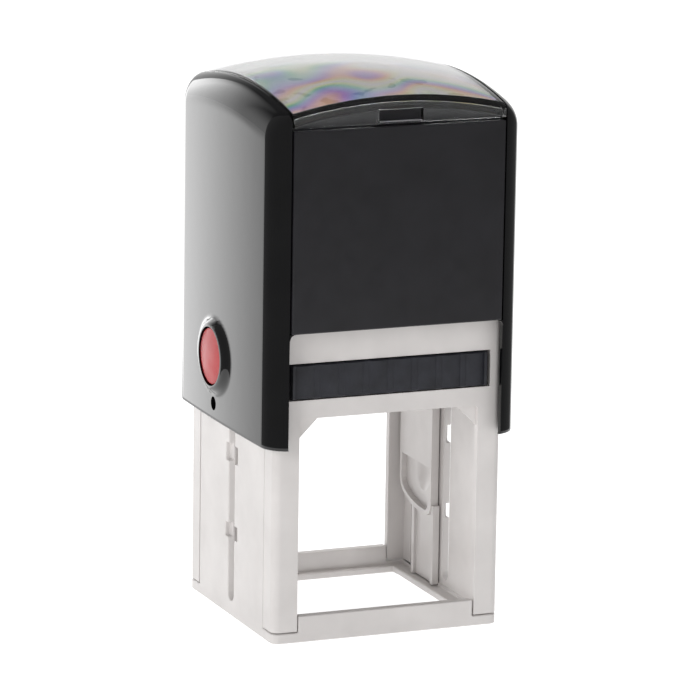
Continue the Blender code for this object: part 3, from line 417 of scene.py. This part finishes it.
def sheet_shell(name, rows, inner, look):
    """Closed shell: a grid of points, the same grid moved to its inner place, and a rim between them."""
    bm = bmesh.new()
    outside = [[bm.verts.new(point) for point in row] for row in rows]
    inside = [[bm.verts.new(inner(point)) for point in row] for row in rows]
    last_row, last = len(rows) - 1, len(rows[0]) - 1
    for r in range(last_row):
        for n in range(last):
            bm.faces.new((outside[r][n], outside[r][n + 1], outside[r + 1][n + 1], outside[r + 1][n]))
            bm.faces.new((inside[r][n], inside[r + 1][n], inside[r + 1][n + 1], inside[r][n + 1]))
    for r in range(last_row):
        for n in (0, last):
            bm.faces.new((outside[r][n], outside[r + 1][n], inside[r + 1][n], inside[r][n]))
    for n in range(last):
        for r in (0, last_row):
            bm.faces.new((outside[r][n], outside[r][n + 1], inside[r][n + 1], inside[r][n]))
    bmesh.ops.remove_doubles(bm, verts=bm.verts, dist=1e-6)
    bmesh.ops.dissolve_degenerate(bm, dist=1e-7, edges=bm.edges)
    return make_object(name, mesh_of(name, bm, True), look)


# ---- cap --------------------------------------------------------------------------------------
def crown(x, y):
    """Height of the domed roof."""
    return CROWN_TOP - CROWN_FALL_X * (x / FRAME_X) ** 2 - CROWN_FALL_Y * (y / FRAME_Y) ** 2


def steps(start, end, count):
    """Evenly spread values from start to end, with count intervals."""
    return [start + (end - start) * n / count for n in range(count + 1)]


def round_off(distance, radius=EASE):
    """How far a rounded edge sinks under its face, at a distance from the edge."""
    short = max(radius - distance, 0)
    return radius - math.sqrt(max(radius ** 2 - short ** 2, 0))


EASE_STEPS = [EASE * share for share in (0, 0.1, 0.3, 0.6, 1.0)]


def wall_row(turn, climb):
    """One row of the cap's right side, from front to rear. turn runs over the shoulder, climb up the wall."""
    inward, drop = 1 - math.cos(turn), 1 - math.sin(turn)
    middle_x, middle_y = CAP_X - CORNER, CAP_Y - CORNER
    reach_x = CORNER - SHOULDER_WIDTH * inward
    reach_y = CORNER - EDGE_WIDTH * inward
    first = math.acos((BAY_X - middle_x) / reach_x)
    eased = [first - distance / reach_y for distance in EASE_STEPS]
    arc = eased + steps(eased[-1], 0, ROUND_STEPS)[1:]
    row = []
    for n, angle in enumerate(arc):
        along, across = math.sin(angle), math.cos(angle)
        sink = round_off(EASE_STEPS[n]) if n < len(EASE_STEPS) else 0
        rise = SHOULDER_RISE * across ** 2 + EDGE_WIDTH * along ** 2
        x = middle_x + reach_x * across
        y = -middle_y - (reach_y - sink * math.cos(turn)) * along
        top = crown(x, y) - rise * drop - sink * math.sin(turn)
        row.append((x, y, CAP_BOTTOM + (top - CAP_BOTTOM) * climb))
    front = list(row)
    side = []
    for y in steps(-middle_y, middle_y, WALL_COLUMNS)[1:-1]:
        x = middle_x + reach_x + SIDE_BULGE * (1 - (y / middle_y) ** 2) * math.cos(turn)
        top = crown(x, y) - SHOULDER_RISE * drop
        side.append((x, y, CAP_BOTTOM + (top - CAP_BOTTOM) * climb))
    rear = [(x, -y, z) for x, y, z in reversed(front)]
    return front + side + rear


def collared(point):
    """The point, raised on the sloping oval collar round the button."""
    x, y, z = point
    along, up = y - BUTTON_Y, z - BUTTON_Z
    reach = math.hypot(along, up)
    rim = BUTTON_RADIUS + GAP + COLLAR_RIM
    if reach <= rim:
        return (x + COLLAR_RISE, y, z)
    foot = reach / math.hypot(2 * along / COLLAR_LENGTH, 2 * up / COLLAR_HEIGHT)
    share = max(0, (foot - reach) / (foot - rim))
    return (x + COLLAR_RISE * (share - COLLAR_SOFTNESS * math.sin(2 * math.pi * share) / (2 * math.pi)), y, z)


def straight_row(x, half_y, drop, points):
    """A row along Y at one place across, at a drop under the dome."""
    return [(x, y, crown(x, y) - drop) for y in steps(-half_y, half_y, points - 1)]


def cap_side_rows():
    """Rows of the cap's right side from its lower edge to the middle of the deck."""
    rows = []
    height = crown(CAP_X, 0) - SHOULDER_RISE - CAP_BOTTOM
    for distance in EASE_STEPS[:-1]:
        sink = round_off(distance)
        scale = 1 - sink / CAP_X
        rows.append([(x * scale, y * scale, CAP_BOTTOM + distance) for x, y, z in wall_row(0, 0)])
    rows += [[collared(point) for point in wall_row(0, climb)]
             for climb in steps(EASE / height, 1, WALL_ROWS)]
    rows += [wall_row(turn, 1) for turn in steps(0, math.pi / 2, ROUND_STEPS)[1:]]
    points = len(rows[0])
    edge_y = -rows[-1][0][1]
    for distance in reversed(EASE_STEPS[:-1]):
        rows.append(straight_row(BAY_X + distance, edge_y, round_off(distance), points))
    rows.append(straight_row(BAY_X, edge_y, DECK_DROP / 2, points))
    deck_y = CAP_Y - FRONT_WALL - DECK_SETBACK
    rows += [straight_row(x, deck_y, DECK_DROP, points) for x in steps(BAY_X, 0, DECK_ROWS)]
    return rows


def make_cap_shell(look):
    """Polished cap: two side walls, shoulders and deck, with the buttons' wells and the sight hole."""
    right = cap_side_rows()
    left = [[(-x, y, z) for x, y, z in row] for row in reversed(right[:-1])]
    inner_x, inner_y = CAP_X - SIDE_WALL, CAP_Y - FRONT_WALL

    def inner(point):
        x, y, z = point
        x = max(-inner_x, min(inner_x, x))
        y = max(-inner_y, min(inner_y, y))
        return (x, y, min(z, crown(x, y) - DECK_DROP - DECK_THICKNESS))

    shell = sheet_shell("cap_shell_fine", right + left, inner, look)
    tools = bmesh.new()
    across = Matrix.Rotation(math.pi / 2, 4, "Y")
    for side in (1, -1):
        well_x = side * (CAP_X - WELL_DEPTH + WELL_REACH / 2)
        well = Matrix.Translation((well_x, BUTTON_Y, BUTTON_Z)) @ across
        bmesh.ops.create_cone(tools, cap_ends=True, segments=ROUND_TURNS, radius1=BUTTON_RADIUS + GAP,
                              radius2=BUTTON_RADIUS + GAP, depth=WELL_REACH, matrix=well)
    sight = Matrix.Translation((0, SIGHT_HOLE_Y, CAP_BOTTOM + SIGHT_HOLE_RISE)) @ across
    bmesh.ops.create_cone(tools, cap_ends=True, segments=48, radius1=SIGHT_HOLE_RADIUS,
                          radius2=SIGHT_HOLE_RADIUS, depth=4 * CAP_X, matrix=sight)
    cut(shell, tools)
    add_cut_out_corners(shell)
    make_smooth(shell)
    return place_piece(shell, "cap", "gloss_black_plastic", "cap_shell")


def add_cut_out_corners(shell):
    """Small fillets between the corner strips and the panels' lower edges."""
    bm = bmesh.new()
    bm.from_mesh(shell.data)
    radius, sink, top = CUT_OUT_CORNER, FILLET_SINK, PANEL_LOW.z
    for side in (1, -1):
        edge = side * BAY_X
        curve = [(edge - side * radius * (1 - math.cos(turn)), top - radius * (1 - math.sin(turn)))
                 for turn in steps(0, math.pi / 2, 12)]
        outline = [*curve, (edge + side * sink, top), (edge + side * sink, top - radius)]
        for start, end in ((-CAP_Y + sink, -CAP_Y + FRONT_WALL), (CAP_Y - FRONT_WALL, CAP_Y - sink)):
            first = [bm.verts.new((x, start, z)) for x, z in outline]
            last = [bm.verts.new((x, end, z)) for x, z in outline]
            made = [bm.faces.new(first), bm.faces.new(last[::-1])]
            for n, corner in enumerate(first):
                after = (n + 1) % len(first)
                made.append(bm.faces.new((corner, last[n], last[after], first[after])))
            bmesh.ops.recalc_face_normals(bm, faces=made)
    bm.to_mesh(shell.data)
    bm.free()


def make_lip_backing(look):
    """Thin upright web of the front panel, which darkens the lip from behind."""
    front = -CAP_Y + FRONT_WALL + WEB_SETBACK
    half = BAY_X - WEB_MARGIN
    places = steps(-half, half, 40)
    rows = [[(x, front, PANEL_HIGH.z - WEB_SINK) for x in places],
            [(x, front, crown(x, front) - DECK_DROP) for x in places]]

    def inner(point):
        x, y, z = point
        return (x, y + WEB_THICKNESS, z)

    web = sheet_shell("front_panel_web", rows, inner, look)
    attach(web, "cap")


def make_smooth(thing, angle=35):
    """Shade an object smooth, with sharp edges past an angle."""
    thing.data.shade_smooth()
    thing.data.set_sharp_from_angle(angle=math.radians(angle))


def make_window(look, slot_highlight_look):
    """Clear dome with rounded front and rear edges, lips down both ends and a slot for a fingernail."""
    columns = [WINDOW_X - distance for distance in EASE_STEPS]
    columns += steps(columns[-1], -columns[-1], DOME_STEPS)[1:-1] + [-x for x in reversed(columns)]
    edge = CAP_Y - EDGE_WIDTH

    def point(x, y, height):
        sink = round_off(WINDOW_X - abs(x))
        return (x, y, height - sink)

    rows = [[(x, -CAP_Y, LIP_BOTTOM) for x in columns]]
    for turn in steps(0, math.pi / 2, ROUND_STEPS):
        y = -edge - EDGE_WIDTH * math.cos(turn)
        rows.append([point(x, y, crown(x, y) - EDGE_WIDTH * (1 - math.sin(turn))) for x in columns])
    front = list(rows)
    for y in steps(-edge, edge, DOME_STEPS)[1:-1]:
        rows.append([point(x, y, crown(x, y)) for x in columns])
    rows += [[(x, -y, z) for x, y, z in row] for row in reversed(front)]
    inner_y = CAP_Y - FRONT_WALL

    def inner(place):
        x, y, z = place
        y = max(-inner_y, min(inner_y, y))
        return (x, y, min(z, crown(x, y) - WINDOW_WALL))

    window = sheet_shell("top_window_fine", rows, inner, look)
    tools = bmesh.new()
    slot_low, slot_high = LIP_BOTTOM + SLOT_START, LIP_BOTTOM + SLOT_END
    size = Matrix.Diagonal((2 * SLOT_HALF, 4 * MM, slot_high - slot_low, 1))
    middle = Matrix.Translation((0, -CAP_Y + 1 * MM, (slot_low + slot_high) / 2))
    bmesh.ops.create_cube(tools, size=1, matrix=middle @ size)
    cut(window, tools)
    bevel = window.modifiers.new("ease", "BEVEL")
    bevel.width = WINDOW_EASE
    bevel.segments = 2
    bevel.limit_method = "ANGLE"
    bevel.angle_limit = math.radians(50)
    settle(window)
    make_smooth(window)
    # The finger slot's upper and lower edge faces get the pale painted highlight.
    window.data.materials.append(slot_highlight_look)
    for face in window.data.polygons:
        in_slot = abs(face.center.x) < SLOT_HALF + EASE and face.center.y < 0
        if in_slot and face.center.z < slot_high + EASE and abs(face.normal.z) > 0.4:
            face.material_index = 1
    return place_piece(window, "window", "clear_plastic", "top_window")


def make_card(look):
    """Card bent to the dome."""
    rows = [[(x, y, crown(x, y) - (CROWN_TOP - CARD_HIGH.z)) for x in steps(CARD_LOW.x, CARD_HIGH.x, 48)]
            for y in steps(CARD_LOW.y, CARD_HIGH.y, 48)]

    def inner(point):
        x, y, z = point
        return (x, y, z - CARD_THICKNESS)

    return place_piece(sheet_shell("index_card_fine", rows, inner, look), "cap", "card", "index_card")


# ---- buttons ------------------------------------------------------------------------------------
def make_button(side, look):
    """Turned button: stem, skirt and a softly domed face with a rounded edge."""
    word = "right" if side > 0 else "left"
    face, under = BUTTON_HIGH.x + SIDE_BULGE, BUTTON_HIGH.x - BUTTON_HEAD
    profile = [(BUTTON_LOW.x, 0), (BUTTON_LOW.x, BUTTON_STEM), (under, BUTTON_STEM), (under, BUTTON_RADIUS)]
    for turn in steps(0, math.pi / 2, 8):
        profile.append((face - BUTTON_DOME - BUTTON_EDGE * (1 - math.sin(turn)),
                        BUTTON_RADIUS - BUTTON_EDGE * (1 - math.cos(turn))))
    flat = BUTTON_RADIUS - BUTTON_EDGE
    for share in steps(0.95, 0, ROUND_STEPS):
        profile.append((face - BUTTON_DOME * share ** 2, flat * share))
    bm = bmesh.new()
    rings = []
    for x, radius in profile:
        ring = []
        for n in range(ROUND_TURNS):
            angle = 2 * math.pi * n / ROUND_TURNS
            ring.append(bm.verts.new((side * x, BUTTON_Y + radius * math.cos(angle),
                                      BUTTON_Z + radius * math.sin(angle))))
        rings.append(ring)
    for first, second in zip(rings, rings[1:]):
        for n in range(ROUND_TURNS):
            after = (n + 1) % ROUND_TURNS
            bm.faces.new((first[n], first[after], second[after], second[n]))
    bmesh.ops.remove_doubles(bm, verts=bm.verts, dist=1e-7)
    button = make_object("lock_button_" + word + "_fine", mesh_of("button", bm, True), look)
    return place_piece(button, "button_" + word, "red_plastic", "lock_button_" + word)


# ---- repeated shapes, by Geometry Nodes ------------------------------------------------------------
def node_tree(name, *inputs):
    """A Geometry Nodes tree with named number inputs and a Geometry output."""
    tree = bpy.data.node_groups.new(name, "GeometryNodeTree")
    tree.interface.new_socket("Geometry", in_out="OUTPUT", socket_type="NodeSocketGeometry")
    for label, kind in inputs:
        tree.interface.new_socket(label, in_out="INPUT", socket_type=kind)
    entry = tree.nodes.new("NodeGroupInput")
    return tree, entry


def close_tree(tree, geometry, look):
    """Realize Instances and Set Material before the tree's output."""
    real = add(tree, "GeometryNodeRealizeInstances", Geometry=geometry)
    dressed = add(tree, "GeometryNodeSetMaterial", Geometry=real.outputs["Geometry"])
    dressed.inputs["Material"].default_value = look
    end = tree.nodes.new("NodeGroupOutput")
    tree.links.new(dressed.outputs["Geometry"], end.inputs["Geometry"])


def grow(name, tree, look, **values):
    """A plain mesh object from a tree with these inputs."""
    thing = bpy.data.objects.new(name, bpy.data.meshes.new(name))
    bpy.context.scene.collection.objects.link(thing)
    modifier = thing.modifiers.new("grow", "NODES")
    modifier.node_group = tree
    for item in tree.interface.items_tree:
        if item.in_out == "INPUT":
            modifier[item.identifier] = values[item.name.replace(" ", "_")]
    settle(thing)
    thing.data.materials.clear()
    thing.data.materials.append(look)
    make_smooth(thing)
    return thing


def coil_tree(look):
    """Spring: a helix of round wire with closed ends."""
    tree, entry = node_tree("coil_spring", ("Radius", "NodeSocketFloat"), ("Wire", "NodeSocketFloat"),
                            ("Turns", "NodeSocketFloat"), ("Height", "NodeSocketFloat"),
                            ("Steps", "NodeSocketInt"))
    size = entry.outputs
    helix = add(tree, "GeometryNodeCurveSpiral", Resolution=size["Steps"], Rotations=size["Turns"],
                Start_Radius=size["Radius"], End_Radius=size["Radius"], Height=size["Height"])
    half = add(tree, "ShaderNodeMath", {"operation": "MULTIPLY"}, Value=size["Wire"], Value_001=0.5)
    ring = add(tree, "GeometryNodeCurvePrimitiveCircle", Resolution=12, Radius=half.outputs[0])
    wire = add(tree, "GeometryNodeCurveToMesh", Curve=helix.outputs["Curve"],
               Profile_Curve=ring.outputs["Curve"], Fill_Caps=True)
    close_tree(tree, wire.outputs["Mesh"], look)
    return tree


def make_grip(look):
    """Ribbed end of the cassette that fingers pull on."""
    pitch = (GRIP_HIGH.x - GRIP_LOW.x) / GRIP_RIBS
    ribs = grow("cassette_grip_ribs", grip_tree(look), look, Count=GRIP_RIBS, Pitch=pitch, Crest=RIB_CREST,
                Height=GRIP_HIGH.z - GRIP_LOW.z - RIB_MARGIN)
    first = Vector((GRIP_LOW.x + pitch / 2, GRIP_LOW.y - RIB_PROUD + RIB_CREST,
                    (GRIP_HIGH.z + GRIP_LOW.z) / 2))
    ribs.data.transform(Matrix.Translation(first))
    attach(ribs, "cassette")


def make_springs(look):
    """Return spring under the deck, and a small spring behind each button."""
    tree = coil_tree(look)
    wire = RETURN_WIRE
    radius = (SPRING_HIGH.x - SPRING_LOW.x - wire) / 2
    length = SPRING_HIGH.z - SPRING_LOW.z
    spring = grow("return_spring_fine", tree, look, Radius=radius, Wire=wire, Turns=RETURN_TURNS,
                  Height=length - wire, Steps=48)
    spring.data.transform(Matrix.Translation((0, 0, SPRING_LOW.z + wire / 2)))
    place_piece(spring, "frame", "spring_steel", "return_spring")
    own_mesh(spring)
    wire = BUTTON_WIRE
    for word, side in (("left", -1), ("right", 1)):
        coil = grow("button_spring_" + word + "_fine", tree, look, Radius=BUTTON_COIL, Wire=wire,
                    Turns=BUTTON_TURNS, Height=COIL_HIGH.x - COIL_LOW.x - wire, Steps=40)
        start = Vector((side * (COIL_LOW.x + wire / 2), BUTTON_Y, BUTTON_Z))
        coil.data.transform(Matrix.Translation(start) @ Matrix.Rotation(side * math.pi / 2, 4, "Y"))
        place_piece(coil, "cap", "spring_steel", "button_spring_" + word)
        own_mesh(coil)


def grip_tree(look):
    """Row of upright ribs, each a low rounded pillar, side by side."""
    tree, entry = node_tree("grip_ribs", ("Count", "NodeSocketInt"), ("Pitch", "NodeSocketFloat"),
                            ("Height", "NodeSocketFloat"), ("Crest", "NodeSocketFloat"))
    size = entry.outputs
    row = add(tree, "GeometryNodeMeshLine", Count=size["Count"])
    step = add(tree, "ShaderNodeCombineXYZ", X=size["Pitch"])
    tree.links.new(step.outputs[0], row.inputs["Offset"])
    pillar = add(tree, "GeometryNodeMeshCylinder", Vertices=64, Radius=1.0, Depth=1.0)
    half = add(tree, "ShaderNodeMath", {"operation": "MULTIPLY"}, Value=size["Pitch"],
               Value_001=RIB_SHARE)
    scale = add(tree, "ShaderNodeCombineXYZ", X=half.outputs[0], Y=size["Crest"], Z=size["Height"])
    set_scale = add(tree, "GeometryNodeTransform", Geometry=pillar.outputs["Mesh"], Scale=scale.outputs[0])
    ribs = add(tree, "GeometryNodeInstanceOnPoints", Points=row.outputs["Mesh"],
               Instance=set_scale.outputs["Geometry"])
    close_tree(tree, ribs.outputs["Instances"], look)
    return tree


# ---- frame, cassette and carrier ------------------------------------------------------------------
def make_eased_nodes(looks):
    """Pieces that keep their own shape and get rounded edges."""
    jobs = (("base_frame", "frame", "grey_plastic"), ("upper_frame", "frame", "grey_plastic"),
            ("flip_guide_left", "frame", "grey_plastic"), ("flip_guide_right", "frame", "grey_plastic"),
            ("ink_cassette", "cassette", "charcoal_plastic"),
            ("front_panel", "cap", "satin_black_plastic"), ("rear_panel", "cap", "satin_black_plastic"),
            ("plate_carrier", "carrier", "grey_plastic"), ("axle_pin_left", "carrier", "grey_plastic"),
            ("axle_pin_right", "carrier", "grey_plastic"), ("die_cushion", "carrier", "adhesive_foam"),
            ("text_plate", "carrier", "red_rubber"))
    thin = {"die_cushion": 0.1 * MM, "text_plate": 0.12 * MM, "plate_carrier": 0.15 * MM}
    for node, body, slot in jobs:
        eased_node(node, body, slot, looks[slot], thin.get(node, EASE))


def make_pad(look):
    """Foam pad with soft edges."""
    bm = bmesh.new()
    size = PAD_HIGH - PAD_LOW
    bmesh.ops.create_cube(bm, size=1, matrix=Matrix.Translation((PAD_LOW + PAD_HIGH) / 2)
                          @ Matrix.Diagonal((*size, 1)))
    bmesh.ops.subdivide_edges(bm, edges=bm.edges, cuts=24, use_grid_fill=True)
    pad = make_object("ink_pad_fine", mesh_of("ink_pad_fine", bm), look)
    bevel = pad.modifiers.new("soft", "BEVEL")
    bevel.width = PAD_EASE
    bevel.limit_method = "ANGLE"
    settle(pad)
    make_smooth(pad, 60)
    place_piece(pad, "cassette", "inked_foam", "ink_pad")


# ---- studio -------------------------------------------------------------------------------------
def make_light(name, place, aim, size, power):
    """A soft box at a place, turned to an aim, that leaves no reflection."""
    lamp = bpy.data.lights.new(name, "AREA")
    lamp.shape = "RECTANGLE"
    lamp.size, lamp.size_y = size
    lamp.energy = power
    light = bpy.data.objects.new(name, lamp)
    bpy.context.scene.collection.objects.link(light)
    light.location = place
    light.rotation_euler = (Vector(aim) - Vector(place)).to_track_quat("-Z", "Y").to_euler()
    light.visible_glossy = False
    light.visible_camera = False
    return light


def make_glow_card():
    """Upright white card behind the left face, lit so that it brightens towards its rear end."""
    front, rear, height = Vector((-0.098, 0.117, 0)), Vector((-0.034, 0.274, 0)), 0.26
    width = (rear - front).length
    light = make_light("glow_card", (front + rear) / 2 + Vector((0, 0, height / 2)), (0, 0, 0),
                       (width, height), math.pi * width * height)
    back = Vector((-1, 0.407, 0)).normalized()
    light.matrix_world = Matrix.Translation(light.location) @ Matrix((
        (*Vector((0, 0, 1)).cross(back), 0), (0, 0, 1, 0), (*back, 0), (0, 0, 0, 1))).transposed()
    light.visible_glossy = True
    light.visible_diffuse = False
    light.data.use_nodes = True
    tree = light.data.node_tree
    across = add(tree, "ShaderNodeNewGeometry").outputs["Parametric"]
    parts = add(tree, "ShaderNodeSeparateXYZ", Vector=across)
    ramp = add(tree, "ShaderNodeMapRange", Value=parts.outputs["X"], From_Min=0.96, From_Max=0.42,
               To_Min=0, To_Max=2.9)
    fade = add(tree, "ShaderNodeMapRange", {"interpolation_type": "SMOOTHSTEP"}, Value=parts.outputs["Y"],
               From_Min=0.5, From_Max=1.0, To_Min=1.0, To_Max=0.05)
    glow = add(tree, "ShaderNodeMath", {"operation": "MULTIPLY"}, Value=ramp.outputs["Result"],
               Value_001=fade.outputs["Result"])
    tree.links.new(glow.outputs[0], tree.nodes["Emission"].inputs["Strength"])


def make_flag():
    """Curved dark grey cloth round the left, front and right, which only reflections show."""
    bm = bmesh.new()
    reach, height = 0.175, 0.6
    low, high = [], []
    for turn in steps(47, 290, 48):
        x, y = -reach * math.sin(math.radians(turn)), reach * math.cos(math.radians(turn))
        low.append(bm.verts.new((x, y, 0)))
        high.append(bm.verts.new((x, y, height)))
    for n in range(len(low) - 1):
        bm.faces.new((low[n], low[n + 1], high[n + 1], high[n]))
    flag = bpy.data.objects.new("studio_flag", mesh_of("studio_flag", bm))
    bpy.context.scene.collection.objects.link(flag)
    look, _, shader, _ = begin("black_studio_cloth")
    shader.inputs["Base Color"].default_value = linear("#0a0a0a")
    shader.inputs["Specular IOR Level"].default_value = 0.0
    shader.inputs["Emission Color"].default_value = linear("#ffffff")
    shader.inputs["Emission Strength"].default_value = 0.22
    flag.data.materials.append(look)
    for kind in ("camera", "diffuse", "shadow", "transmission"):
        setattr(flag, "visible_" + kind, False)


def make_sky():
    """Room that is bright low down all round and dim overhead."""
    world = bpy.data.worlds.new("studio")
    world.use_nodes = True
    tree = world.node_tree
    facing = add(tree, "ShaderNodeTexCoord").outputs["Generated"]
    parts = add(tree, "ShaderNodeSeparateXYZ", Vector=facing)
    ramp = add(tree, "ShaderNodeMapRange", {"interpolation_type": "SMOOTHSTEP"}, Value=parts.outputs["Z"],
               From_Min=0.1, From_Max=0.55, To_Min=0.88, To_Max=0.1)
    tree.links.new(ramp.outputs["Result"], tree.nodes["Background"].inputs["Strength"])
    tree.nodes["Background"].inputs["Color"].default_value = linear("#ffffff")
    bpy.context.scene.world = world


def make_studio():
    """White light table, low bright room, soft key from the upper left and a soft box overhead."""
    bm = bmesh.new()
    bmesh.ops.create_grid(bm, x_segments=1, y_segments=1, size=6)
    floor = bpy.data.objects.new("studio_floor", mesh_of("studio_floor", bm))
    bpy.context.scene.collection.objects.link(floor)
    look, _, shader, _ = begin("opal_light_table")
    shader.inputs["Emission Color"].default_value = linear("#ffffff")
    shader.inputs["Emission Strength"].default_value = 0.95
    shader.inputs["Base Color"].default_value = linear("#a0a0a0")
    shader.inputs["Roughness"].default_value = 0.9
    shader.inputs["Specular IOR Level"].default_value = 0.0
    floor.data.materials.append(look)
    make_sky()
    make_flag()
    make_glow_card()
    make_light("key", (-0.9, -0.5, 0.5), (0, 0, 0.05), (0.5, 0.5), 5)
    make_light("top", (0.1, 0.25, 1.0), (0, 0, 0.1), (0.6, 0.6), 10)
    bpy.context.scene.view_settings.view_transform = "Standard"


# ---- assembly -----------------------------------------------------------------------------------
make_camera()
LOOKS = {"grey_plastic": grey_abs(), "gloss_black_plastic": polished_black_abs(),
         "satin_black_plastic": satin_black_abs(), "charcoal_plastic": charcoal_pp(),
         "red_plastic": red_abs(), "clear_plastic": clear_acrylic(), "card": card_with_painted_sheen(),
         "inked_foam": inked_foam(), "adhesive_foam": adhesive_foam(), "red_rubber": engraved_rubber(),
         "spring_steel": spring_steel()}
make_eased_nodes(LOOKS)
make_cap_shell(LOOKS["gloss_black_plastic"])
make_window(LOOKS["clear_plastic"], painted_highlight_slot_edge())
make_card(LOOKS["card"])
for hand in (1, -1):
    make_button(hand, LOOKS["red_plastic"])
make_grip(LOOKS["charcoal_plastic"])
make_lip_backing(LOOKS["satin_black_plastic"])
make_springs(LOOKS["spring_steel"])
make_pad(LOOKS["inked_foam"])
make_studio()
